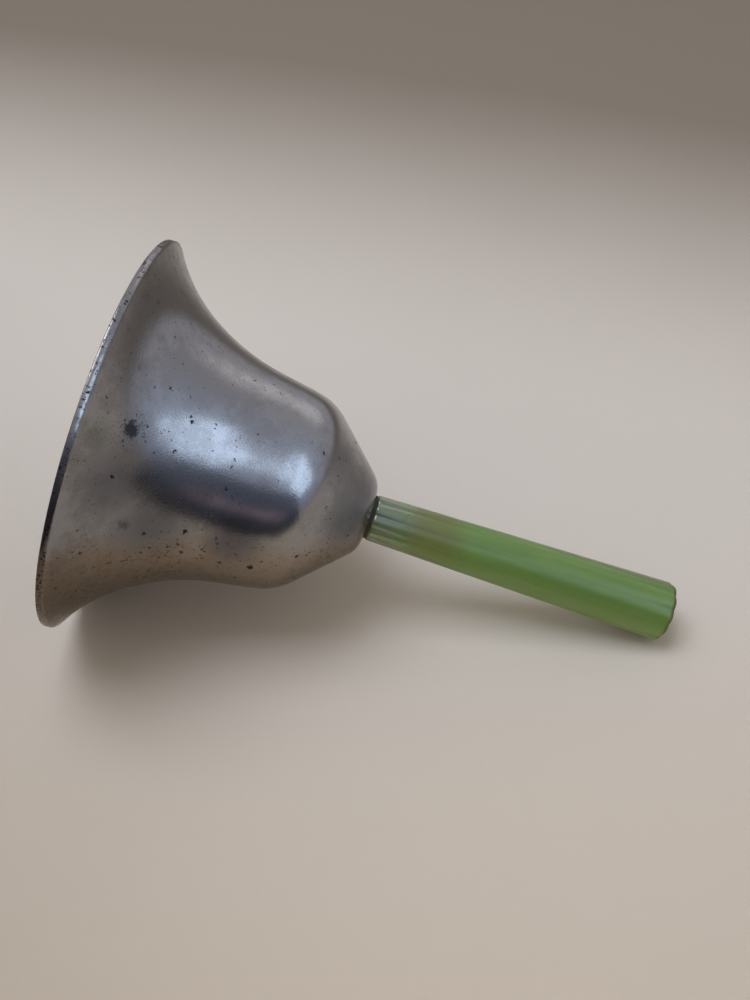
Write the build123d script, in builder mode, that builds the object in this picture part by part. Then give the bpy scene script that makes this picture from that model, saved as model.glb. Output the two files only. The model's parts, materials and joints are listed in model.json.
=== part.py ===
from build123d import *
from math import acos, atan2, cos, degrees, hypot, radians, sin, sqrt, tan
import os

# Hand bell lying on its side: it rests on its lip and on the free end of its handle.
# Sizes are in millimetres. Heights run along the bell's own axis, from the mouth to the handle.

# bell
mouth_radius = 40.0
bell_height = 53.8          # mouth plane to the flat seat on the crown
wall = 1.2
lip_height = 1.2            # the straight land round the lip
lip_rounding = 0.25
shoulder_radius = 19.85     # corner between body and cone, before it is rounded
shoulder_rounding = 12.0
body_lean = 12.4            # degrees that the body's top stretch leans off the axis
crown_radius = 7.05         # corner between cone and seat, before it is rounded
crown_rise = 13.3           # height of the cone, from the shoulder's corner to the seat
crown_rounding = 5.0
crown_hole_clearance = 0.15
# The flare runs from the lip to the body through two points, each given as shares of
# its height and of its change in radius.
throat_shares = (0.376, 0.32)
waist_shares = (0.674, 0.108)
flare_start = (-1.75, 1.0)  # run of the wall just above the lip, as radius and height
flare_steps = 12            # points that carry the flare over to the bell's inside
straight_spare = 0.1        # straight left over beside the shoulder's rounding

# handle
handle_length = 64.3
handle_start_radius = 4.8   # over the reeds, beside the bell
handle_end_radius = 6.25    # over the reeds, at the free end
reeds = 10
reed_depth = 0.09           # groove depth as a part of the radius, so that the reeds taper too
handle_end_rounding = 1.3
handle_start_chamfer = 0.3
envelope_spare = 0.05       # the turned ends stand this far off the crests
bore_spare = 1.5            # empty bore past the stud's tip

# stud, washers and nut that clamp the handle to the crown
seat_washer_inset = 0.3     # from the handle's edge to the washer's
seat_washer_thickness = 0.6
stud_radius = 1.4
stud_grip = 17.0            # length of stud inside the handle
stud_tip_chamfer = 0.4
crown_washer_inset = 0.3    # from the edge of the level ground under the crown to the washer's
crown_washer_thickness = 0.9
washer_hole_clearance = 0.15
nut_across_flats = 7.0
nut_thickness = 2.8
nut_corner_angle = 30.0
thread_below_nut = 1.2

# eye that the clapper hangs from, bent from the stud's own bar
eye_clearance = 1.2         # between the bar and the clapper's wire, inside the eye
eye_bend_radius = 2.0
eye_gap_angle = 45.0        # open part of the ring, beside the shank

# clapper
wire_radius = 0.9
loop_clearance = 0.8        # between the wire and the eye's bar, inside the loop
loop_bend_radius = 1.5
loop_gap_angle = 40.0
ball_height = 9.6           # ball centre above the mouth plane, when it hangs straight
ball_radius = 5.5
wire_through_ball = 0.8     # peened end that stands out under the ball
peened_radius = 1.35
strike_gap = 0.3            # ball to bell wall at each end of the swing

# heights along the axis that follow from the sizes above
handle_start = bell_height + seat_washer_thickness
handle_end = handle_start + handle_length
stud_tip = handle_start + stud_grip
inner_seat = bell_height - wall
nut_top = inner_seat - crown_washer_thickness
nut_bottom = nut_top - nut_thickness
eye_bend_start = nut_bottom - thread_below_nut


def bend_rise(ring, bend):
    """Distance from a ring's centre to where its shank starts to bend."""
    return sqrt(ring ** 2 + 2 * ring * bend)


# The rings go round each other's bar with a clearance.
eye_radius = stud_radius + wire_radius + eye_clearance
loop_radius = (eye_radius + stud_radius + wire_radius + loop_clearance) / 2
eye_height = eye_bend_start - bend_rise(eye_radius, eye_bend_radius)
clapper_length = eye_height - ball_height

# The body's straight stretch is as long as the shoulder's rounding needs.
shoulder_height = bell_height - crown_rise
cone_lean = degrees(atan2(shoulder_radius - crown_radius, crown_rise))
body_run = shoulder_rounding * tan(radians(cone_lean - body_lean) / 2) + straight_spare
body_radius = shoulder_radius + body_run * sin(radians(body_lean))
body_height = shoulder_height - body_run * cos(radians(body_lean))

# Level ground under the crown, inside its rounding.
crown_turn = tan(radians(90 - cone_lean) / 2)
inner_crown_radius = crown_radius - wall * crown_turn
level_radius = inner_crown_radius - (crown_rounding - wall) * crown_turn
crown_washer_radius = level_radius - crown_washer_inset
seat_washer_radius = handle_start_radius - seat_washer_inset

# The reeds are arcs through the groove bottoms and the crests.
half_reed = radians(180 / reeds)
groove_share = 1 - reed_depth
reed_rise = 1 - groove_share * cos(half_reed)
reed_arc = ((groove_share * sin(half_reed)) ** 2 + reed_rise ** 2) / (2 * reed_rise)
# A groove points down, so the handle stands on the two reeds beside it. These are how far
# down and how far from the axis their lowest lines lie, as shares of the radius.
standing_share = (1 - reed_arc) * cos(half_reed) + reed_arc
standing_reach = hypot(standing_share, (1 - reed_arc) * sin(half_reed))

# Resting pose: the upper edge of the lip's land and the corner where the standing reeds
# meet the handle's rounded end both touch the floor.
cut_share = 1 - (handle_end_radius * (1 - standing_reach) + envelope_spare) / handle_end_rounding
standing_height = handle_end - handle_end_rounding * (1 - sin(acos(cut_share)))
standing_radius = handle_end_radius * standing_share
lean = atan2(mouth_radius - standing_radius, standing_height - lip_height)
mouth_z = lip_height * sin(lean) + mouth_radius * cos(lean)
# The lip's rounded edge and the handle's rounded end reach furthest along the floor.
leftmost = lip_rounding * cos(lean) - (mouth_radius - lip_rounding) * sin(lean) - lip_rounding
rightmost = standing_height * cos(lean) + standing_radius * sin(lean)
mouth_x = -(leftmost + rightmost) / 2

mouth = Vector(mouth_x, 0, mouth_z)
along = Vector(cos(lean), 0, -sin(lean))
upward = Vector(sin(lean), 0, cos(lean))
bell_axis = Axis(mouth, along)
# Sketches on this plane read radius, then height.
section = Plane(origin=mouth, x_dir=upward, z_dir=(0, 1, 0))


def across(height):
    """Plane square to the bell's axis at a height."""
    return Plane(origin=mouth + along * height, x_dir=upward, z_dir=along)


os.makedirs("parts", exist_ok=True)


def inward(direction):
    """Unit vector from the bell's outline towards its inside."""
    return Vector(-direction.Y, direction.X, 0).normalized()


def inset_corner(before, corner, after, inset):
    """Where a corner of the outline goes when both its sides are set in."""
    first = inward(Vector(*corner) - Vector(*before))
    second = inward(Vector(*after) - Vector(*corner))
    return Vector(*corner) + (first + second) * (inset / (1 + first.dot(second)))


def bell_face(inset):
    """Half section of the solid bell, with its outline set in by a distance."""
    body = (body_radius, body_height)
    flare_points = [
        (
            body_radius + radius_share * (mouth_radius - body_radius),
            lip_height + height_share * (body_height - lip_height),
        )
        for height_share, radius_share in (throat_shares, waist_shares)
    ]
    shoulder = (shoulder_radius, shoulder_height)
    crown = (crown_radius, bell_height)
    seat = (0, bell_height)
    flare = Spline(
        (mouth_radius, lip_height),
        *flare_points,
        body,
        tangents=[flare_start, (shoulder_radius - body_radius, shoulder_height - body_height)],
        mode=Mode.PRIVATE,
    )
    steps = [i / flare_steps for i in range(flare_steps + 1)]
    inner_shoulder = inset_corner(body, shoulder, crown, inset)
    inner_crown = inset_corner(shoulder, crown, seat, inset)
    with BuildSketch() as face:
        with BuildLine():
            line = Spline(
                *[flare @ step + inward(flare % step) * inset for step in steps],
                tangents=[flare % 0, flare % 1],
            )
            foot = line @ 0
            Polyline(
                line @ 1,
                inner_shoulder,
                inner_crown,
                (0, bell_height - inset),
                (0, -inset),
                (foot.X, -inset),
                foot,
            )
        make_face()
        fillet(face.vertices().sort_by_distance(inner_shoulder)[0], shoulder_rounding - inset)
        fillet(face.vertices().sort_by_distance(inner_crown)[0], crown_rounding - inset)
    return face.sketch


outer_face = bell_face(0)
inner_face = bell_face(wall)

# The cavity leaves a level face round the mouth, as wide as the wall.
with BuildSketch() as cavity:
    add(inner_face)
    with Locations((0, bell_height / 2)):
        Rectangle(2 * (mouth_radius - wall), 2 * bell_height, mode=Mode.INTERSECT)

with BuildPart() as bell_shell:
    with BuildSketch(section) as shell_section:
        add(outer_face)
        add(cavity.sketch, mode=Mode.SUBTRACT)
        lip_corners = shell_section.vertices().filter_by_position(Axis.Y, -0.01, 0.01)
        fillet(lip_corners, lip_rounding)
        with Locations((0, bell_height)):
            Rectangle(2 * (stud_radius + crown_hole_clearance), 4 * wall, mode=Mode.SUBTRACT)
    revolve(axis=bell_axis)
bell_shell.part.label = "bell_shell"
export_step(bell_shell.part, "parts/bell_shell.step")


def reeded_circle(radius):
    """Wire of the handle's section: arcs from groove to groove over each crest."""
    for i in range(reeds):
        angles = (2 * i * half_reed, (2 * i + 1) * half_reed, (2 * i + 2) * half_reed)
        radii = (radius * groove_share, radius, radius * groove_share)
        ThreePointArc(*[(r * cos(a), r * sin(a)) for r, a in zip(radii, angles)])


with BuildPart() as handle:
    for height, radius in ((handle_start, handle_start_radius), (handle_end, handle_end_radius)):
        with BuildSketch(across(height)):
            with BuildLine():
                reeded_circle(radius)
            make_face()
    loft(ruled=True)
    # The ends are rounded off by a plain turned envelope.
    with BuildSketch(section):
        with BuildLine():
            Polyline(
                (0, handle_end),
                (0, handle_start),
                (handle_start_radius - handle_start_chamfer, handle_start),
                (handle_start_radius + envelope_spare, handle_start + handle_start_chamfer + envelope_spare),
                (handle_end_radius + envelope_spare, handle_end - handle_end_rounding),
            )
            RadiusArc(
                (handle_end_radius + envelope_spare, handle_end - handle_end_rounding),
                (handle_end_radius + envelope_spare - handle_end_rounding, handle_end),
                -handle_end_rounding,
            )
            Line((handle_end_radius + envelope_spare - handle_end_rounding, handle_end), (0, handle_end))
        make_face()
    revolve(axis=bell_axis, mode=Mode.INTERSECT)
    with BuildSketch(across(handle_start)):
        Circle(stud_radius)
    extrude(amount=stud_grip + bore_spare, mode=Mode.SUBTRACT)
handle.part.label = "handle"
export_step(handle.part, "parts/handle.step")

with BuildPart() as seat_washer:
    with BuildSketch(across(bell_height)):
        Circle(seat_washer_radius)
        Circle(stud_radius + washer_hole_clearance, mode=Mode.SUBTRACT)
    extrude(amount=seat_washer_thickness)
seat_washer.part.label = "seat_washer"
export_step(seat_washer.part, "parts/seat_washer.step")

with BuildPart() as crown_washer:
    with BuildSketch(across(nut_top)):
        Circle(crown_washer_radius)
        Circle(stud_radius + washer_hole_clearance, mode=Mode.SUBTRACT)
    extrude(amount=crown_washer_thickness)
crown_washer.part.label = "crown_washer"
export_step(crown_washer.part, "parts/crown_washer.step")

# A hexagon whose corners are turned off at both faces.
nut_corner_radius = nut_across_flats / 2 / cos(radians(30))
nut_corner_drop = (nut_corner_radius - nut_across_flats / 2) * tan(radians(nut_corner_angle))
with BuildPart() as crown_nut:
    with BuildSketch(across(nut_bottom)):
        RegularPolygon(nut_across_flats / 2, 6, major_radius=False)
        Circle(stud_radius, mode=Mode.SUBTRACT)
    extrude(amount=nut_thickness)
    with BuildSketch(section):
        with BuildLine():
            Polyline(
                (0, nut_bottom),
                (nut_across_flats / 2, nut_bottom),
                (nut_corner_radius, nut_bottom + nut_corner_drop),
                (nut_corner_radius, nut_top - nut_corner_drop),
                (nut_across_flats / 2, nut_top),
                (0, nut_top),
                close=True,
            )
        make_face()
    revolve(axis=bell_axis, mode=Mode.INTERSECT)
crown_nut.part.label = "crown_nut"
export_step(crown_nut.part, "parts/crown_nut.step")


def bent_ring(start, ring, bend, gap, side):
    """Shank from start to a ring below it, on side +1 or -1; the ring's end stops short of the shank."""
    rise = bend_rise(ring, bend)
    turn = degrees(atan2(rise, bend))
    JernArc(start=start, tangent=(0, -side), radius=bend, arc_size=turn)
    ring_start = (
        start[0] + side * bend * (1 - cos(radians(turn))),
        start[1] - side * bend * sin(radians(turn)),
    )
    heading = radians(turn - 90)
    JernArc(
        start=ring_start,
        tangent=(side * cos(heading), side * sin(heading)),
        radius=ring,
        arc_size=-(turn + 270 - gap),
    )


with BuildPart() as eye_bolt:
    with BuildLine(section) as bolt_bar:
        Line((0, stud_tip), (0, eye_bend_start))
        bent_ring((0, eye_bend_start), eye_radius, eye_bend_radius, eye_gap_angle, 1)
    with BuildSketch(across(stud_tip)):
        Circle(stud_radius)
    sweep(path=bolt_bar.wires()[0])
    chamfer(eye_bolt.edges().sort_by(bell_axis)[-1], stud_tip_chamfer)
eye_bolt.part.label = "eye_bolt"
export_step(eye_bolt.part, "parts/eye_bolt.step")


inner_walls = [edge for edge in cavity.edges() if edge.center().X > wall and edge.center().Y > wall]


def wall_gap(swing):
    """Room between the ball and the bell's inside, with the clapper swung off the bell's axis."""
    ball = Vector(clapper_length * sin(swing), eye_height - clapper_length * cos(swing))
    if not cavity.face().is_inside(ball):
        return -ball_radius
    return min(edge.distance_to(ball) for edge in inner_walls) - ball_radius


# The clapper lies against the lower wall, so its swing is found where the gap closes.
swing_low = radians(10)
swing_high = radians(60)
for i in range(30):
    strike_swing = (swing_low + swing_high) / 2
    if wall_gap(strike_swing) > strike_gap:
        swing_low = strike_swing
    else:
        swing_high = strike_swing

hinge = mouth + along * eye_height
rod = -(along * cos(strike_swing)) - upward * sin(strike_swing)
side_plane = Plane(origin=hinge, x_dir=(0, 1, 0), z_dir=Vector(0, 1, 0).cross(-rod))
wire_end = -(clapper_length + ball_radius + wire_through_ball)

with BuildPart() as clapper_wire:
    with BuildLine(side_plane) as wire_path:
        Line((0, wire_end), (0, -loop_radius - bend_rise(loop_radius, loop_bend_radius)))
        bent_ring(
            (0, -loop_radius - bend_rise(loop_radius, loop_bend_radius)),
            loop_radius,
            loop_bend_radius,
            loop_gap_angle,
            -1,
        )
    with BuildSketch(Plane(origin=hinge - rod * wire_end, x_dir=(0, 1, 0), z_dir=rod)):
        Circle(wire_radius)
    sweep(path=wire_path.wires()[0])
    with BuildSketch(Plane(origin=hinge + rod * (clapper_length + ball_radius), x_dir=(0, 1, 0), z_dir=rod)):
        Circle(peened_radius)
    extrude(amount=wire_through_ball, taper=20)
clapper_wire.part.label = "clapper_wire"
export_step(clapper_wire.part, "parts/clapper_wire.step")

with BuildPart(Plane(origin=hinge + rod * clapper_length, z_dir=rod)) as clapper_ball:
    Sphere(ball_radius)
    Hole(wire_radius)
clapper_ball.part.label = "clapper_ball"
export_step(clapper_ball.part, "parts/clapper_ball.step")

print("lean", round(degrees(lean), 3), "degrees")
print("clapper swing", round(degrees(strike_swing), 3), "degrees")
print("hinge", [round(value / 1000, 6) for value in hinge])
print("mouth", [round(value / 1000, 6) for value in mouth])
print("along", [round(value, 6) for value in along])
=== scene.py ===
import json
import math

import bpy
import numpy as np
from mathutils import Matrix, Vector, noise


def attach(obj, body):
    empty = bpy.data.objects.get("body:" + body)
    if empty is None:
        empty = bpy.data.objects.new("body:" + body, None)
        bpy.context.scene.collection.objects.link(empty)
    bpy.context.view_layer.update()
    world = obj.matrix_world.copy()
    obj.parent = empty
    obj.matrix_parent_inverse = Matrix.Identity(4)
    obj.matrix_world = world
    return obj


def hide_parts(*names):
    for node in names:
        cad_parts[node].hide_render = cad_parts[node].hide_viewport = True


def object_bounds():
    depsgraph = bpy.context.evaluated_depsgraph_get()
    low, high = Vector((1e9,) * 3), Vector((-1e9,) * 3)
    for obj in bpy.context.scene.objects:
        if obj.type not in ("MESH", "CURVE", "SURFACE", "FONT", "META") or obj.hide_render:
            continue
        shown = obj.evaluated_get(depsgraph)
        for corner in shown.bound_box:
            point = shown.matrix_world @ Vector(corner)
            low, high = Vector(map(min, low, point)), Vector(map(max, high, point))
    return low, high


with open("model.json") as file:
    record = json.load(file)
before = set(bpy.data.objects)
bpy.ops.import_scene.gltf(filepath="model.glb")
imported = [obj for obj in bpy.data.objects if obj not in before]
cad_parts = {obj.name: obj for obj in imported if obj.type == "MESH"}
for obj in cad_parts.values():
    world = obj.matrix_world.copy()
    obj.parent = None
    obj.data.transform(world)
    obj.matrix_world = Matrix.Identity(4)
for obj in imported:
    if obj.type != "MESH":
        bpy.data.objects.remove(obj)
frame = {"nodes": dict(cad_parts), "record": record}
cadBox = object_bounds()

mm = 0.001

# The bell's own frame: origin in the middle of the mouth, Z towards the handle, Y to the upper side.
mount = next(m for m in frame["record"]["mounts"] if m["name"] == "mouth_rim")
bellAxis = -Vector(mount["axis"]).normalized()
bellSide = Vector((0, 1, 0))
bellUp = bellAxis.cross(bellSide)
mouthMiddle = Vector((mount["pos_m"][0], 0, mount["pos_m"][2]))
bellFrame = Matrix.Translation(mouthMiddle) @ Matrix((bellSide, bellUp, bellAxis)).transposed().to_4x4()
toBell = bellFrame.inverted()


class Signal:  # a node's output that adds Math nodes when it is used in an expression
    def __init__(self, finish, socket):
        self.finish, self.socket = finish, socket

    def math(self, operation, *values):
        return self.finish.node("Math", {"operation": operation}, *values)

    def __add__(self, other):
        return self.math("ADD", self, other)

    def __sub__(self, other):
        return self.math("SUBTRACT", self, other)

    def __mul__(self, other):
        return self.math("MULTIPLY", self, other)

    def __truediv__(self, other):
        return self.math("DIVIDE", self, other)

    def __rsub__(self, other):
        return self.math("SUBTRACT", other, self)

    __radd__ = __add__
    __rmul__ = __mul__

    def within(self, low, high):  # 0 below low, 1 above high, smooth between
        settings = {"interpolation_type": "SMOOTHSTEP"}
        return self.finish.node("MapRange", settings, self, low, high, 0.0, 1.0)

    def above(self, other):
        return self.math("MAXIMUM", self, other)

    def part(self, letter):  # one coordinate of a vector
        made = self.finish.tree.nodes.new("ShaderNodeSeparateXYZ")
        self.finish.feed(made.inputs[0], self)
        return Signal(self.finish, made.outputs["XYZ".index(letter)])


class Finish:  # a material, or the world, made of nodes
    def __init__(self, name, tree=None):
        if tree is None:
            self.material = bpy.data.materials.new(name)
            self.material.use_nodes = True
            tree = self.material.node_tree
        self.tree = tree
        tree.nodes.clear()

    def feed(self, socket, value):
        if isinstance(value, Signal):
            self.tree.links.new(value.socket, socket)
        elif value is not None:
            socket.default_value = value

    def node(self, kind, settings, *values, output=0, **named):
        made = self.tree.nodes.new("ShaderNode" + kind)
        for key, value in settings.items():
            setattr(made, key, value)
        for socket, value in zip(made.inputs, values):
            self.feed(socket, value)
        for key, value in named.items():
            self.feed(made.inputs[key.replace("_", " ")], value)
        return Signal(self, made.outputs[output]) if made.outputs else None

    def place(self, attribute=None):  # where a point is on its piece, in metres
        if attribute:
            return self.node("Attribute", {"attribute_name": attribute}, output="Vector")
        return self.node("TexCoord", {}, output="Object")

    def vector(self, operation, *values, output=0, **named):
        return self.node("VectorMath", {"operation": operation}, *values, output=output, **named)

    def cloud(self, place, size, detail=3.0, stretch=(1, 1, 1)):  # noise whose features are about size across
        scaled = self.vector("MULTIPLY", place, stretch)
        return self.node("TexNoise", {}, Vector=scaled, Scale=1 / size, Detail=detail, Roughness=0.55)

    def apart(self, place, point):  # distance from one point
        return self.vector("DISTANCE", place, point, output="Value")

    def spot(self, place, point, full, gone):  # 1 as far as full from the point, 0 from gone on
        return 1 - self.apart(place, point).within(full, gone)

    def frayed(self, place, size, amount):
        # the place pushed about, so that shapes laid out on it get ragged edges
        wander = self.node("TexNoise", {}, Vector=place, Scale=1 / size, Detail=2.0, output="Color")
        push = self.vector("SUBTRACT", wander, (0.5, 0.5, 0.5))
        return self.vector("ADD", place, self.vector("SCALE", push, Scale=amount))

    def dots(self, place, size, reach, share):
        # specks of random size: cells about size apart, of which a share hold one; reach is in cells
        near = self.node("TexVoronoi", {}, Vector=place, Scale=1 / size)
        cell = self.node("TexVoronoi", {}, Vector=place, Scale=1 / size, output="Color")
        chance = cell.part("X")
        radius = (0.35 + cell.part("Y") * 0.65) * reach
        full = 1 - (near / (radius + 0.001)).within(0.55, 1.0)
        return full * (share - chance).within(0.0, 0.05)

    def mix(self, mask, first, second):
        made = self.tree.nodes.new("ShaderNodeMix")
        made.data_type = "RGBA"
        self.feed(made.inputs[0], mask)
        for place, colour in ((6, first), (7, second)):
            self.feed(made.inputs[place], (*colour, 1) if isinstance(colour, tuple) else colour)
        return Signal(self, made.outputs[2])

    def bump(self, height, depth, under=None):
        return self.node("Bump", {}, Strength=1.0, Distance=depth, Height=height, Normal=under)

    def shade(self, **named):
        shader = self.node("BsdfPrincipled", {}, **named)
        self.node("OutputMaterial", {}, shader)
        return self.material


def dress(piece, *finishes):
    piece.data.materials.clear()
    for finish in finishes:
        piece.data.materials.append(finish)


# Floor: warm pale paper with painted light: darker towards the back and the left as a painted falloff of the
# light, and a cool near tone that stands in for the window's light.
floor = {
    "size": 12.0,
    # near: a cool tone standing in for the window's light, which lights only the gloss
    "near": (0.68, 0.68, 0.695),
    "front": (0.64, 0.59, 0.53),
    # far: painted shade, where the light falls off towards the back and the left
    "far": (0.245, 0.222, 0.198),
    "frontEdge": (-0.12, 0.05),  # metres along Y: all of the front tone, none of it
    "backEdge": (0.075, 0.30),  # metres along Y: none of the far tone, all of it
    "backSlant": 0.18,
    "leftEdge": (0.02, 0.20),
    "leftSlant": 0.8,
    "leftShare": 0.42,
    "toneSize": 60 * mm,
    "toneShare": 0.08,
    "toothSize": 0.8 * mm,
    "toothDepth": 0.05 * mm,
    "roughness": 0.85,
}


def paperWithPaintedLight():
    paper = Finish("paperWithPaintedLight")
    place = paper.place()
    right, away = place.part("X"), place.part("Y")
    toFront = 1 - away.within(*floor["frontEdge"])
    toBack = (away + right * floor["backSlant"]).within(*floor["backEdge"])
    toLeft = (0 - right - away * floor["leftSlant"]).within(*floor["leftEdge"])
    tone = paper.cloud(place, floor["toneSize"], detail=4)
    # painted shade: the far tone towards the back and the left stands in for the light falling off
    paintedFalloff = toBack.above(toLeft * floor["leftShare"]) + tone * floor["toneShare"]
    colour = paper.mix(paintedFalloff, paper.mix(toFront, floor["near"], floor["front"]), floor["far"])
    tooth = paper.bump(paper.cloud(place, floor["toothSize"]), floor["toothDepth"])
    return paper.shade(Base_Color=colour, Roughness=floor["roughness"], Normal=tooth)


def makeFloor():
    half = floor["size"] / 2
    corners = [(-half, -half, 0), (half, -half, 0), (half, half, 0), (-half, half, 0)]
    mesh = bpy.data.meshes.new("paperFloor")
    mesh.from_pydata(corners, [], [(0, 1, 2, 3)])
    piece = bpy.data.objects.new("paperFloor", mesh)
    bpy.context.scene.collection.objects.link(piece)
    dress(piece, paperWithPaintedLight())


makeFloor()
print("floor made")

# Bell: a thin turned shell, worn and pitted.
bell = {
    "steps": 480,
    "outerSpacing": 0.55 * mm,
    "innerSpacing": 1.6 * mm,
    "thinnest": 0.3 * mm,  # a point further than this from the outside is on the inside
    "dent": 0.05 * mm,
    "dentSize": 14 * mm,
    "ripple": 0.006 * mm,
    "rippleSize": 2.6 * mm,
    "nickCount": 46,
    "nickDepth": 0.16 * mm,
    "nickWidth": (0.3 * mm, 0.9 * mm),
    "nickHeight": 0.9 * mm,
    "nickSpread": 0.55 * mm,
    "lipWidth": 0.7 * mm,
}


def seamProfile(node):
    # The section of a turned CAD node, (radius, height) round its wall, read along the seam of its mesh.
    mesh = frame["nodes"][node].data
    onSeam, links = {}, {}
    for vertex in mesh.vertices:
        x, y, z = toBell @ vertex.co
        if abs(x) < 1e-7 and y > 1e-5:
            onSeam[vertex.index] = (round(y, 7), round(z, 7))
    for edge in mesh.edges:
        first, second = (onSeam.get(v) for v in edge.vertices)
        if first and second and first != second:
            links.setdefault(first, set()).add(second)
            links.setdefault(second, set()).add(first)
    start = max(links)  # the lip's outer edge
    line = [start]
    step = max(links[start], key=lambda point: point[1])
    while step != start:
        line.append(step)
        step = next(point for point in links[step] if point != line[-2])
    return line


bellProfile = seamProfile("bell_shell")


def resampled(points, spacingOf, sharpTurn=math.radians(25)):
    # A closed line with more points: smooth where it turns gently, straight beside its corners.
    count = len(points)
    line = [Vector(p) for p in points]
    turns = []
    for i in range(count):
        before, after = line[i] - line[i - 1], line[(i + 1) % count] - line[i]
        turns.append(before.angle(after, 0))
    made = []
    for i in range(count):
        a, b, c, d = line[i - 1], line[i], line[(i + 1) % count], line[(i + 2) % count]
        length = (c - b).length
        pieces = max(1, round(length / spacingOf((b + c) / 2)))
        smooth = turns[i] < sharpTurn and turns[(i + 1) % count] < sharpTurn
        startSlope = (c - a).normalized() * length if smooth else c - b
        endSlope = (d - b).normalized() * length if smooth else c - b
        for k in range(pieces):
            t = k / pieces
            t2, t3 = t * t, t * t * t
            places = b * (2 * t3 - 3 * t2 + 1) + c * (3 * t2 - 2 * t3)
            made.append(places + startSlope * (t3 - 2 * t2 + t) + endSlope * (t3 - t2))
    return made


def gridFaces(rings, steps, closed):
    # Quads between neighbouring rings, wound so that their normals point out of the wall.
    ring = np.arange(rings if closed else rings - 1)[:, None]
    step = np.arange(steps)[None, :]
    following, beside = (ring + 1) % rings, (step + 1) % steps
    here, there = ring * steps, following * steps
    corners = [here + step, there + step, there + beside, here + beside]
    return np.stack([np.broadcast_to(c, (ring.shape[0], steps)) for c in corners], -1).reshape(-1, 4)


def meshPiece(name, points, faces):
    # A mesh from points in the bell's frame, which its finish reads as bellPlace.
    points = np.array(points)
    placed = points @ np.array(bellFrame.to_3x3()).T + np.array(bellFrame.translation)
    mesh = bpy.data.meshes.new(name)
    mesh.from_pydata(placed.tolist(), [], [tuple(int(v) for v in f) for f in faces])
    mesh.polygons.foreach_set("use_smooth", [True] * len(mesh.polygons))
    mesh.attributes.new("bellPlace", "FLOAT_VECTOR", "POINT").data.foreach_set("vector", points.ravel())
    piece = bpy.data.objects.new(name, mesh)
    bpy.context.scene.collection.objects.link(piece)
    return piece


def outsideTest():
    # A function that tells whether a point of the section is on the bell's inside.
    crown = max(range(len(bellProfile)), key=lambda i: bellProfile[i][1] + bellProfile[i][0] * 1e-3)
    outside = bellProfile[: crown + 1]
    close = []
    for (r1, h1), (r2, h2) in zip(outside, outside[1:]):
        close += [(r1 + (r2 - r1) * k / 12, h1 + (h2 - h1) * k / 12) for k in range(12)]

    def onInside(radius, height):
        return min(math.hypot(radius - r, height - h) for r, h in close) > bell["thinnest"]

    return onInside


def makeBell():
    onInside = outsideTest()
    line = resampled(bellProfile, lambda point: bell["innerSpacing" if onInside(*point) else "outerSpacing"])
    steps = bell["steps"]
    radii = np.array([p[0] for p in line])
    heights = np.array([p[1] for p in line])
    mouthRadius = max(radius for radius, height in bellProfile)
    onLip = radii > mouthRadius - bell["lipWidth"]
    edges = np.where(onLip, np.exp(-(((heights - bell["nickHeight"]) / bell["nickSpread"]) ** 2)), 0.0)
    forward = np.roll(np.array(line), -1, 0) - np.roll(np.array(line), 1, 0)
    forward /= np.linalg.norm(forward, axis=1)[:, None]
    outward = np.stack([forward[:, 1], -forward[:, 0]], 1)
    inside = np.array([onInside(*p) for p in line])
    wall = np.where(inside, -1.0, 1.0)  # both faces of the wall move the same way when it is dented
    draw = np.random.default_rng(7)
    nicks = []
    for _ in range(bell["nickCount"]):
        where = draw.uniform(0, 2 * math.pi)
        depth = draw.uniform(0.25, 1.0) * bell["nickDepth"]
        nicks.append((where, depth, draw.uniform(*bell["nickWidth"])))
    points = np.zeros((len(line), steps, 3))
    for j in range(steps):
        angle = j * 2 * math.pi / steps
        sine, cosine = math.sin(angle), math.cos(angle)
        notch = 0.0
        for where, depth, width in nicks:
            apart = abs((angle - where + math.pi) % (2 * math.pi) - math.pi) * mouthRadius
            if apart < 3 * width:
                notch += depth * math.exp(-((apart / width) ** 2))
        for i in range(len(line)):
            spot = Vector((radii[i] * sine, radii[i] * cosine, heights[i]))
            swell = bell["dent"] * noise.noise(spot / bell["dentSize"])
            if not inside[i]:
                swell += bell["ripple"] * noise.noise(spot / bell["rippleSize"])
            move = outward[i] * swell * wall[i]
            radius, height = radii[i] + move[0] - notch * edges[i], heights[i] + move[1]
            points[i, j] = (radius * sine, radius * cosine, height)
    faces = gridFaces(len(line), steps, True)
    piece = meshPiece("bell_shell_turned", points.reshape(-1, 3), faces)
    isInner = np.repeat(inside & np.roll(inside, -1), steps)
    piece.data.polygons.foreach_set("material_index", isInner.astype(np.int32))
    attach(piece, "bell")
    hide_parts("bell_shell")
    return piece


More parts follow.
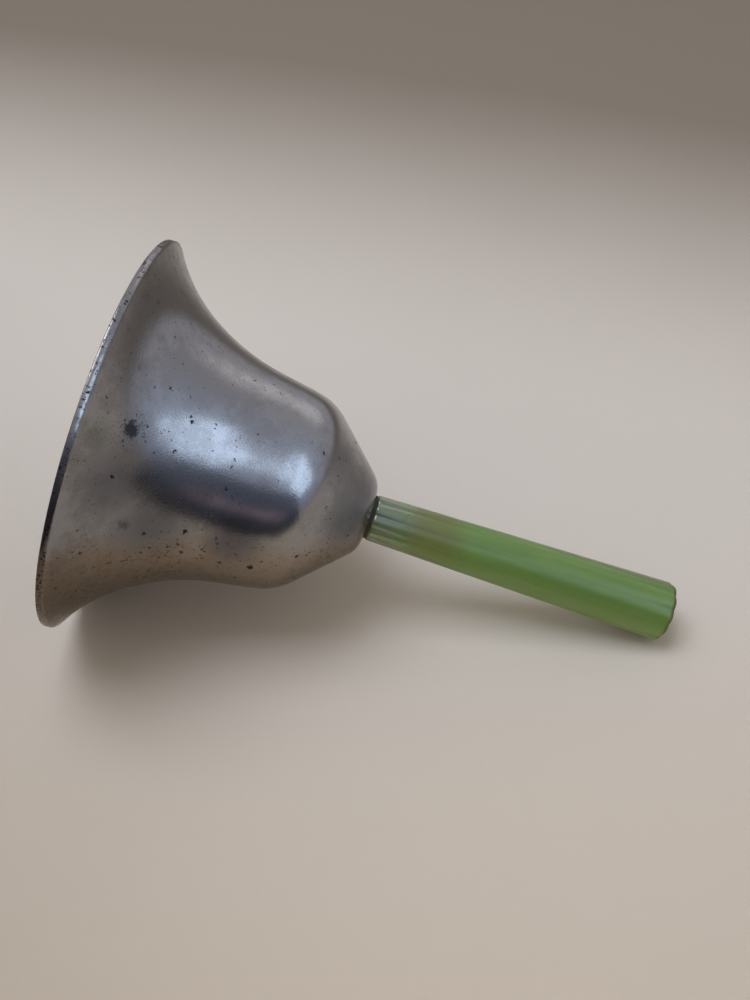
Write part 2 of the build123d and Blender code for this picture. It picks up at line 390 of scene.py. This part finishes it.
# Worn plate: hazy grey with dark pits, brown where the plate has thinned, and painted light: a tan low side
# that is partly tarnish and partly a painted reflection of the warm floor, a browner low side as painted
# shade, and patches of painted shade.
# A place on the bell is its height in mm and its turn in degrees, followed by its reach in mm.
plate = {
    "bright": (0.335, 0.335, 0.345),
    "dull": (0.275, 0.268, 0.272),
    # tan: partly tarnish, partly a painted reflection of the warm floor on the low side
    "tan": (0.33, 0.25, 0.165),
    # the dark bluish tone of the painted shade patches
    "paintedShadeTone": (0.115, 0.118, 0.137),
    "brown": (0.15, 0.108, 0.075),
    "green": (0.13, 0.16, 0.11),
    "rust": (0.10, 0.07, 0.048),
    "pit": (0.018, 0.017, 0.018),
    "star": (8.2, -42, 1.85),
    "verdigris": (4.2, -46, 3.2),
    "stain": (11.0, -76, 1.6),
    # places of painted shade: low on the side facing the front, and on the crown by the handle
    "paintedShadeSpots": [(8.0, -60, 13.0), (15.0, -76, 12.0), (30.0, -80, 8.5), (50.0, -56, 10.0)],
    "marks": [
        (9.3, -26, 0.22),
        (11.7, -23, 0.28),
        (16.5, -29, 0.2),
        (17.0, -30.5, 0.22),
        (10.4, -39, 0.24),
        (12.6, -47, 0.2),
        (15.7, -44, 0.2),
        (7.5, -58, 0.3),
        (26.1, -53, 0.26),
        (41.1, -18, 0.3),
        (44.2, -13, 0.22),
        (21.3, -78, 0.34),
        (14.5, -80, 0.3),
        (34.4, -95, 0.55),
        (28.7, -95, 0.3),
        (42.2, -84, 0.3),
        (5.5, -85, 0.3),
        (9.8, -94, 0.3),
        (24.0, 60, 0.5),
        (12.0, 140, 0.7),
        (37.0, 170, 0.4),
    ],
}


def outsideLevels():
    # (height, radius) up the bell's outside: the points that nothing above them passes.
    widest = {}
    for radius, height in bellProfile:
        level = round(height, 5)
        widest[level] = max(radius, widest.get(level, 0))
    outer = [(h, r) for h, r in widest.items() if all(r >= s for k, s in widest.items() if k > h)]
    return sorted(outer)


bellLevels = outsideLevels()


def onWall(height, turn):
    # A point of the bell's outside, in its own frame.
    levels, widths = zip(*bellLevels)
    radius = float(np.interp(height * mm, levels, widths))
    angle = math.radians(turn)
    return (radius * math.sin(angle), radius * math.cos(angle), height * mm)


def pitted(finish, place, torn, under, lip):
    # 0 to 1: scattered pits, the listed marks, and the star with the specks round it.
    frayed = finish.frayed(place, 0.5 * mm, 1.5 * mm)
    crowd = finish.cloud(place, 7 * mm, detail=3).within(0.38, 0.58)
    low = under * crowd * 0.4
    fine = finish.dots(frayed, 0.62 * mm, 0.34, crowd * 0.28 + low + under * 0.12)
    coarse = finish.dots(frayed, 1.1 * mm, 0.36, crowd * 0.14 + low + under * 0.2)
    pits = (fine.above(coarse) * 0.88).above(lip * finish.dots(frayed, 0.8 * mm, 0.6, 0.7))
    for level, turn, reach in plate["marks"]:
        pits = pits.above(finish.spot(frayed, onWall(level, turn), reach * 0.95 * mm, reach * 1.55 * mm))
    level, turn, reach = plate["star"]
    star = finish.spot(torn, onWall(level, turn), reach * 0.6 * mm, reach * 1.15 * mm) * 0.92
    specks = finish.spot(torn, onWall(level, turn), reach * mm, reach * 2.6 * mm)
    return pits.above(star).above(specks * finish.dots(frayed, 0.42 * mm, 0.6, 0.65))


def wornPlate():
    finish = Finish("wornPlate")
    place = finish.place("bellPlace")
    height, upward = place.part("Z"), place.part("Y")
    haze = finish.cloud(place, 15 * mm, detail=4)
    mottle = finish.cloud(place, 2.4 * mm, detail=4)
    grain = finish.cloud(place, 0.55 * mm, detail=3)
    frost = finish.cloud(place, 0.3 * mm, detail=1)
    worn = (haze * 0.65 + mottle * 0.35).within(0.42, 0.62)
    # painted shade: the low side, facing the floor, is made browner and darker
    paintedLowShade = 1 - upward.within(-4.9 * mm, 12.6 * mm)
    under = 1 - upward.within(-1.5 * mm, 8 * mm)
    nearMouth = 1 - height.within(1 * mm, 14 * mm)
    brown = (paintedLowShade * 0.45 + nearMouth * 0.35 + mottle * 0.35 + haze * 0.3 - 0.42).within(0.0, 0.9)
    lip = 1 - height.within(1.1 * mm, 1.4 * mm)
    lowLip = lip * (1 - upward.within(16.8 * mm, 28 * mm))
    torn = finish.frayed(finish.frayed(place, 1.5 * mm, 2.0 * mm), 0.4 * mm, 2.4 * mm)
    pits = pitted(finish, place, torn, under, lip)
    level, turn, reach = plate["stain"]
    stain = finish.spot(torn, onWall(level, turn), 0.3 * mm, reach * mm)
    level, turn, reach = plate["verdigris"]
    verdigris = finish.spot(torn, onWall(level, turn), 0.4 * mm, reach * mm)
    # painted shade: dark patches low on the front of the bell and on the crown by the handle
    paintedShadeSpots = 0
    for level, turn, reach in plate["paintedShadeSpots"]:
        paintedShadeSpots = finish.spot(place, onWall(level, turn), 1 * mm, reach * mm).above(paintedShadeSpots)
    colour = finish.mix((worn + (frost - 0.5) * 1.6).within(0.0, 1.0), plate["bright"], plate["dull"])
    # tan low side: partly tarnish, partly a painted reflection of the warm floor
    colour = finish.mix(under * (0.6 + mottle * 0.4), colour, plate["tan"])
    colour = finish.mix(paintedShadeSpots * 0.8, colour, plate["paintedShadeTone"])
    colour = finish.mix(brown * 0.7, colour, plate["brown"])
    colour = finish.mix(verdigris * mottle, colour, plate["green"])
    colour = finish.mix(lowLip * (0.4 + mottle * 0.6), colour, plate["rust"])
    colour = finish.mix((pits * 0.95).above(stain * 0.5), colour, plate["pit"])
    roughness = 0.15 + worn * 0.06 + grain * 0.05 + frost * 0.04 + brown * 0.08 + pits * 0.35
    surface = finish.bump(grain * 0.3 + frost * 0.7 + mottle * 0.4, 0.017 * mm)
    surface = finish.bump(1 - pits, 0.005 * mm, surface)
    return finish.shade(Base_Color=colour, Roughness=roughness, Metallic=1.0, Normal=surface)


# Inside of the bell: duller and browner.
inner = {
    "clean": (0.36, 0.35, 0.34),
    "stained": (0.2, 0.165, 0.13),
}


def innerPlate():
    finish = Finish("tarnishedInside")
    place = finish.place("bellPlace")
    haze = finish.cloud(place, 12 * mm, detail=4)
    mottle = finish.cloud(place, 1.6 * mm, detail=4)
    stain = (haze * 0.7 + mottle * 0.3).within(0.4, 0.62)
    pits = finish.dots(finish.frayed(place, 0.5 * mm, 1 * mm), 1.4 * mm, 0.24, 0.4)
    colour = finish.mix(stain, inner["clean"], inner["stained"])
    return finish.shade(
        Base_Color=finish.mix(pits * 0.85, colour, plate["pit"]),
        Roughness=0.38 + stain * 0.18 + pits * 0.2,
        Metallic=1 - pits * 0.6,
        Normal=finish.bump(mottle - pits, 0.02 * mm),
    )


dress(makeBell(), wornPlate(), innerPlate())
print("bell made")

# Handle: a reeded resin rod, a little worn, with a blind hole for the stud.
handle = {
    "startRadius": 4.8 * mm,
    "endRadius": 6.25 * mm,
    "faceRadius": 3.9 * mm,  # the flat round the hole
    "reeds": 10,
    "grooveShare": 0.91,
    "roundShare": 0.72,  # of the groove's shape; the rest is a soft wave
    "middleDepth": 0.2,  # of a full groove; the reeds are worn down there
    "startDepth": 0.7,
    "startFade": 0.15,
    "endDepth": 0.75,
    "endFade": 0.05,
    "boreRadius": 1.4 * mm,
    "boreDepth": 18.5 * mm,
    "startChamfer": 0.3 * mm,
    "endRounding": 1.3 * mm,
    "wear": 0.03 * mm,
    "wearSize": 9 * mm,
    "wearAcross": 1.2,
    "grain": 0.006 * mm,
    "grainSize": 1.5 * mm,
    "grainAcross": 5,
    "inset": 0.02 * mm,
    "steps": 320,
    "rings": 170,
}
handleHeights = [(toBell @ vertex.co).z for vertex in frame["nodes"]["handle"].data.vertices]
handleStart, handleEnd = min(handleHeights), max(handleHeights)


def reedShare(turns, depth):
    # Radius of the reeded section, as a share of its crests' radius. Depth 1 is the full groove.
    half = math.pi / handle["reeds"]
    off = np.abs((turns % (2 * half)) - half)
    groove, roundShare = handle["grooveShare"], handle["roundShare"]
    centre = (1 - groove * groove) / (2 * (1 - groove * math.cos(half)))
    full = centre * np.cos(off) + np.sqrt((1 - centre) ** 2 - (centre * np.sin(off)) ** 2)
    soft = 1 - (1 - groove) * (0.5 - 0.5 * np.cos(math.pi * off / half))
    return 1 - (1 - (roundShare * full + (1 - roundShare) * soft)) * depth


def reeded(turns, height):
    # Radius round the handle at this height.
    along = (min(height, handleEnd) - handleStart) / (handleEnd - handleStart)
    crest = handle["startRadius"] + (handle["endRadius"] - handle["startRadius"]) * along
    depth = handle["middleDepth"]
    depth += handle["startDepth"] * math.exp(-along / handle["startFade"])
    depth += handle["endDepth"] * math.exp(-(1 - along) / handle["endFade"])
    return crest * reedShare(turns, min(depth, 1.0))


def unevenness(turns, height, across, size):
    spots = [Vector((math.sin(t) * across, math.cos(t) * across, height / size)) for t in turns]
    return np.array([noise.noise(spot) for spot in spots])


def handleRows():
    # (kind, height, size) of each ring, from the bottom of the hole round to the free end. The size is
    # the radius of a plain ring, the inset of a reeded one, and the share of the last one for a flat one.
    bore, depth, face = handle["boreRadius"], handle["boreDepth"], handle["faceRadius"]
    rounding, chamfer, count = handle["endRounding"], handle["startChamfer"], handle["rings"]
    rows = [("plain", handleStart + depth, bore * k / 3) for k in (1, 2, 3)]
    rows += [("plain", handleStart + depth * (1 - k / 12), bore) for k in range(1, 13)]
    rows += [("plain", handleStart, bore + (face - bore) * k / 4) for k in range(1, 5)]
    rows += [("reeded", handleStart + chamfer * k / 4, chamfer * (1 - k / 4)) for k in range(4)]
    low, high = handleStart + chamfer, handleEnd - rounding
    rows += [("reeded", low + (high - low) * k / count, 0.0) for k in range(count)]
    for k in range(13):
        lift = math.pi / 2 * k / 12
        rows.append(("reeded", high + rounding * math.sin(lift), rounding * (1 - math.cos(lift))))
    return rows + [("flat", handleEnd, share) for share in (0.93, 0.8, 0.6, 0.4, 0.2)]


def handleRing(turns, kind, height, size):
    if kind == "plain":
        return np.full(len(turns), size)
    radius = reeded(turns, height)
    if kind == "flat":
        return (radius - handle["endRounding"]) * size
    wear = unevenness(turns, height, handle["wearAcross"], handle["wearSize"]) * handle["wear"]
    grain = unevenness(turns, height, handle["grainAcross"], handle["grainSize"]) * handle["grain"]
    return radius - size + wear + grain - handle["inset"]


def makeHandle():
    steps = handle["steps"]
    turns = np.arange(steps) * 2 * math.pi / steps
    points = []
    for kind, height, size in handleRows():
        radius = handleRing(turns, kind, height, size)
        points.append(np.stack([radius * np.sin(turns), radius * np.cos(turns), np.full(steps, height)], 1))
    rings = len(points)
    faces = [tuple(face) for face in gridFaces(rings, steps, False)]
    flat = [tuple(point) for point in np.concatenate(points)]
    flat += [(0, 0, handleStart + handle["boreDepth"]), (0, 0, handleEnd)]
    borePole, endPole = len(flat) - 2, len(flat) - 1
    last = (rings - 1) * steps
    for j in range(steps):
        k = (j + 1) % steps
        faces.append((borePole, j, k))
        faces.append((endPole, last + k, last + j))
    piece = meshPiece("handle_reeded", flat, faces)
    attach(piece, "bell")
    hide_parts("handle")
    return piece


# Resin: apple green, olive where the stud shows through, darker brown round the free end, with painted light:
# a teal painted reflection of the bell by the collar, a lighter painted glow underneath and a painted grazing
# reflection along the top edge.
resin = {
    "green": (0.115, 0.235, 0.052),
    "light": (0.15, 0.28, 0.072),
    "olive": (0.155, 0.155, 0.05),
    # a teal tone that stands in for the dark bell reflected in the resin by the collar
    "paintedCollarReflection": (0.085, 0.115, 0.07),
    # glow: a painted glow of light through the resin on the underside
    "glow": (0.21, 0.32, 0.07),
    # a desaturated tone for the painted grazing reflection along the top edge
    "topEdgeReflection": (0.13, 0.125, 0.055),
    "rim": (0.075, 0.045, 0.022),
    "halfLift": 8.2 * mm,
    "rimInside": 3.9 * mm,
    "rimOutside": 5.0 * mm,
    "collarGloss": 2.0,  # refractive index of the polished collar
    "depth": 3.6 * mm,
}


def darkEndRim(finish, place):
    # 0 to 1: round the edge of the free end, and faintly over its face.
    right, upward = place.part("X"), place.part("Y")
    across = right * right + upward * upward
    edge = place.part("Z").within(handleEnd - 1.3 * mm, handleEnd - 0.5 * mm)
    edge = edge * (0.15 + across.within(resin["rimInside"] ** 2, resin["rimOutside"] ** 2) * 0.85)
    return edge * (0.7 + finish.cloud(place, 1.1 * mm).within(0.25, 0.6) * 0.3)


def appleResin():
    finish = Finish("appleResin")
    place = finish.place("bellPlace")
    height = place.part("Z") - handleStart
    streaks = finish.cloud(place, 3.2 * mm, detail=4, stretch=(1, 1, 0.14))
    swirl = finish.cloud(place, 9 * mm, stretch=(1, 1, 0.4))
    scuffs = finish.cloud(place, 0.7 * mm, stretch=(1, 1, 0.2))
    wavy = height + (swirl - 0.5) * (9 * mm)
    collar = 1 - height.within(3 * mm, 12 * mm)
    stud = wavy.within(4 * mm, 9 * mm) * (1 - wavy.within(14 * mm, 22 * mm))
    lift = (place.part("X") + place.part("Y")) / resin["halfLift"]
    paintedUnderGlow = 1 - lift.within(-1.0, 0.15)
    paintedTopEdge = lift.within(0.78, 1.0)
    specks = finish.dots(finish.frayed(place, 0.5 * mm, 1 * mm), 2.6 * mm, 0.1, 0.16)
    endDarkening = darkEndRim(finish, place)
    colour = finish.mix(streaks.within(0.35, 0.68), resin["green"], resin["light"])
    colour = finish.mix(stud * 0.72, colour, resin["olive"])
    # painted reflection: the teal by the collar stands in for the dark bell reflected in the resin
    colour = finish.mix(collar * 0.75, colour, resin["paintedCollarReflection"])
    # painted light: the underside is made lighter, as light through the resin and off the floor would make it
    colour = finish.mix(paintedUnderGlow * 0.6, colour, resin["glow"])
    # painted reflection: the top edge is made greyer and browner, as a grazing reflection would make it
    colour = finish.mix(paintedTopEdge * 0.6, colour, resin["topEdgeReflection"])
    # darker brown round the edge of the free end
    colour = finish.mix((endDarkening * 0.9).above(specks * 0.85), colour, resin["rim"])
    return finish.shade(
        Base_Color=colour,
        Roughness=0.24 + scuffs * 0.12 + swirl * 0.12 + endDarkening * 0.3 - collar * 0.14,
        Normal=finish.bump(scuffs * 0.6 + streaks * 0.4, 0.012 * mm),
        IOR=1.55,
        Coat_Weight=collar,
        Coat_Roughness=0.07,
        Coat_IOR=resin["collarGloss"],
        Subsurface_Weight=0.85,
        Subsurface_Radius=(0.8, 1.0, 0.4),
        Subsurface_Scale=resin["depth"],
    )


dress(makeHandle(), appleResin())
print("handle made")


# Fittings inside the bell and at its crown.
fittings = {
    "steel": {"clean": (0.42, 0.41, 0.39), "stained": (0.2, 0.13, 0.08), "roughness": 0.36},
    "brass": {"clean": (0.55, 0.4, 0.17), "stained": (0.2, 0.13, 0.06), "roughness": 0.3},
    "fibre": {"dark": (0.03, 0.024, 0.02), "light": (0.08, 0.06, 0.04)},
}


def metalFinish(name, metal, size, depth):
    finish = Finish(name)
    place = finish.place()
    patches = finish.cloud(place, size, detail=4)
    grain = finish.cloud(place, size / 6)
    stain = (patches * 0.7 + grain * 0.3).within(0.42, 0.66)
    pits = finish.dots(place, size / 4, 0.25, 0.25)
    colour = finish.mix(stain, metal["clean"], metal["stained"])
    return finish.shade(
        Base_Color=finish.mix(pits * 0.7, colour, tuple(c * 0.2 for c in metal["stained"])),
        Roughness=metal["roughness"] + stain * 0.2 + pits * 0.1,
        Metallic=1 - pits * 0.5,
        Normal=finish.bump(grain - pits * 0.6, depth),
    )


def fibreFinish(fibre):
    finish = Finish("darkFibre")
    strands = finish.cloud(finish.place(), 0.5 * mm, detail=4)
    return finish.shade(
        Base_Color=finish.mix(strands, fibre["dark"], fibre["light"]),
        Roughness=0.7 + strands * 0.2,
        Normal=finish.bump(strands, 0.03 * mm),
    )


dress(frame["nodes"]["seat_washer"], fibreFinish(fittings["fibre"]))
dullSteel = metalFinish("dullSteel", fittings["steel"], 2.6 * mm, 0.015 * mm)
for node in ("crown_washer", "crown_nut", "eye_bolt", "clapper_wire"):
    dress(frame["nodes"][node], dullSteel)
dress(frame["nodes"]["clapper_ball"], metalFinish("tarnishedBrass", fittings["brass"], 3.2 * mm, 0.012 * mm))
print("fittings finished")

# Camera: where it stands beside the bell, and how it is turned.
view = {
    "alongBell": 39.1 * mm,
    "away": 221.5 * mm,
    "turn": math.radians(45),  # round the bell from its upper side, towards -Y
    "yaw": math.radians(3.85),
    "pitch": math.radians(0.92),
    "roll": math.radians(17.9),
    "lens": 39.24,
}


def makeCamera():
    radial = -bellSide * math.sin(view["turn"]) + bellUp * math.cos(view["turn"])
    forward, right = -radial, bellAxis.copy()
    down = forward.cross(right)
    yaw = Matrix.Rotation(view["yaw"], 3, down)
    forward, right = yaw @ forward, yaw @ right
    pitch = Matrix.Rotation(view["pitch"], 3, right)
    forward, down = pitch @ forward, pitch @ down
    roll = Matrix.Rotation(-view["roll"], 3, forward)
    right, down = roll @ right, roll @ down
    data = bpy.data.cameras.new("camera")
    data.lens = view["lens"]
    data.clip_start = 0.01
    camera = bpy.data.objects.new("camera", data)
    bpy.context.scene.collection.objects.link(camera)
    place = mouthMiddle + bellAxis * view["alongBell"] + radial * view["away"]
    camera.matrix_world = Matrix.Translation(place) @ Matrix((right, -down, -forward)).transposed().to_4x4()
    bpy.context.scene.camera = camera


makeCamera()

# Light: a soft lamp overhead, then a cool window on the right and a weak lamp behind, seen only in the gloss.
lights = {
    "overhead": {
        "from": (-0.27, -0.03, 1.0),
        "away": 0.8,
        "size": (0.5, 0.5),
        "power": 2.9,
        "colour": (1.0, 1.02, 1.07),
        "glossOnly": False,
    },
    "window": {
        "from": (0.75, -0.35, 0.56),
        "away": 1.4,
        "size": (0.85, 0.95),
        "power": 4.2,
        "colour": (0.62, 0.79, 1.0),
        "glossOnly": True,
    },
    "back": {
        "from": (0.35, 0.85, 0.45),
        "away": 1.6,
        "size": (0.9, 0.5),
        "power": 0.7,
        "colour": (1.0, 0.93, 0.93),
        "glossOnly": True,
    },
}


def makeLights():
    low, high = cadBox
    middle = (low + high) / 2
    for name, lamp in lights.items():
        data = bpy.data.lights.new(name, "AREA")
        data.shape = "RECTANGLE"
        data.size, data.size_y = lamp["size"]
        data.energy, data.color = lamp["power"], lamp["colour"]
        piece = bpy.data.objects.new(name, data)
        bpy.context.scene.collection.objects.link(piece)
        piece.visible_diffuse = not lamp["glossOnly"]
        direction = Vector(lamp["from"]).normalized()
        turned = direction.to_track_quat("Z", "Y").to_matrix().to_4x4()
        piece.matrix_world = Matrix.Translation(middle + direction * lamp["away"]) @ turned


# A dark card in front, which only mirror-like surfaces see: it keeps the plate dark where it faces the front.
card = {
    "ahead": 0.125,
    "left": -0.205,
    "right": 0.145,
    "bottom": 0.001,
    "top": 0.119,
    "deepTo": 0.08,  # height at which the deep tone has given way to the dark one
    "base": (0.02, 0.02, 0.025, 1),
    "dark": (0.09, 0.11, 0.155),
    "deep": (0.012, 0.012, 0.018),
    "rose": (0.31, 0.22, 0.275),
    "roseMiddle": (0.03, 0.052),
    "roseSize": (0.035, 0.014),
}


def glowingCard():
    cardFinish = Finish("glowingCard")
    place = cardFinish.place()
    right, height = place.part("X"), place.part("Z")
    across = (right - card["roseMiddle"][0]) / card["roseSize"][0]
    above = (height - card["roseMiddle"][1]) / card["roseSize"][1]
    rose = 1 - (across * across + above * above).within(0.1, 1.0)
    # painted reflection: the card glows with dark tones and a rose patch, standing in for the room that the
    # plate reflects
    tone = cardFinish.mix(height.within(0.0, card["deepTo"]), card["deep"], card["dark"])
    tone = cardFinish.mix(rose, tone, card["rose"])
    return cardFinish.shade(Base_Color=card["base"], Roughness=0.9, Emission_Color=tone, Emission_Strength=1.0)


def makeCard():
    left, right, bottom, top = (card[side] for side in ("left", "right", "bottom", "top"))
    corners = [(left, bottom), (right, bottom), (right, top), (left, top)]
    mesh = bpy.data.meshes.new("darkCard")
    mesh.from_pydata([(x, -card["ahead"], z) for x, z in corners], [], [(0, 1, 2, 3)])
    piece = bpy.data.objects.new("darkCard", mesh)
    bpy.context.scene.collection.objects.link(piece)
    dress(piece, glowingCard())
    piece.visible_camera = piece.visible_diffuse = piece.visible_shadow = False


# Room: what the gloss shows past the lamps and the card, a warm even light on dull surfaces, and a backdrop.
roomLight = {
    "front": (0.05, 0.055, 0.07),
    "back": (0.52, 0.51, 0.54),
    "windowGlow": (0.56, 0.65, 0.84),
    "glowShare": 0.68,
    "glowReach": (0.5, 0.95),  # cosines of the angle from the window, where the glow starts and is full
    "warm": (0.48, 0.405, 0.32),
    "backdrop": (0.24, 0.215, 0.19),
}


def makeRoom():
    world = bpy.data.worlds.new("room")
    bpy.context.scene.world = world
    world.use_nodes = True
    room = Finish("room", world.node_tree)
    direction = room.node("TexCoord", {}, output="Generated")
    towardsBack = direction.part("Y").within(-0.75, 0.5)
    up = direction.part("Z").within(0.1, 0.9)
    mirrored = room.mix((towardsBack + up * 0.7).within(0.0, 1.0), roomLight["front"], roomLight["back"])
    towardsWindow = room.vector("DOT_PRODUCT", direction, lights["window"]["from"], output="Value")
    glow = towardsWindow.within(*roomLight["glowReach"]) * roomLight["glowShare"]
    mirrored = room.mix(glow, mirrored, roomLight["windowGlow"])
    lit = room.mix(room.node("LightPath", {}, output="Is Diffuse Ray"), mirrored, roomLight["warm"])
    lit = room.mix(room.node("LightPath", {}, output="Is Camera Ray"), lit, roomLight["backdrop"])
    background = room.node("Background", {}, lit, 1.0)
    room.node("OutputWorld", {}, background)


makeLights()
makeCard()
makeRoom()
bpy.context.scene.view_settings.view_transform = "Standard"
print("light and camera made")
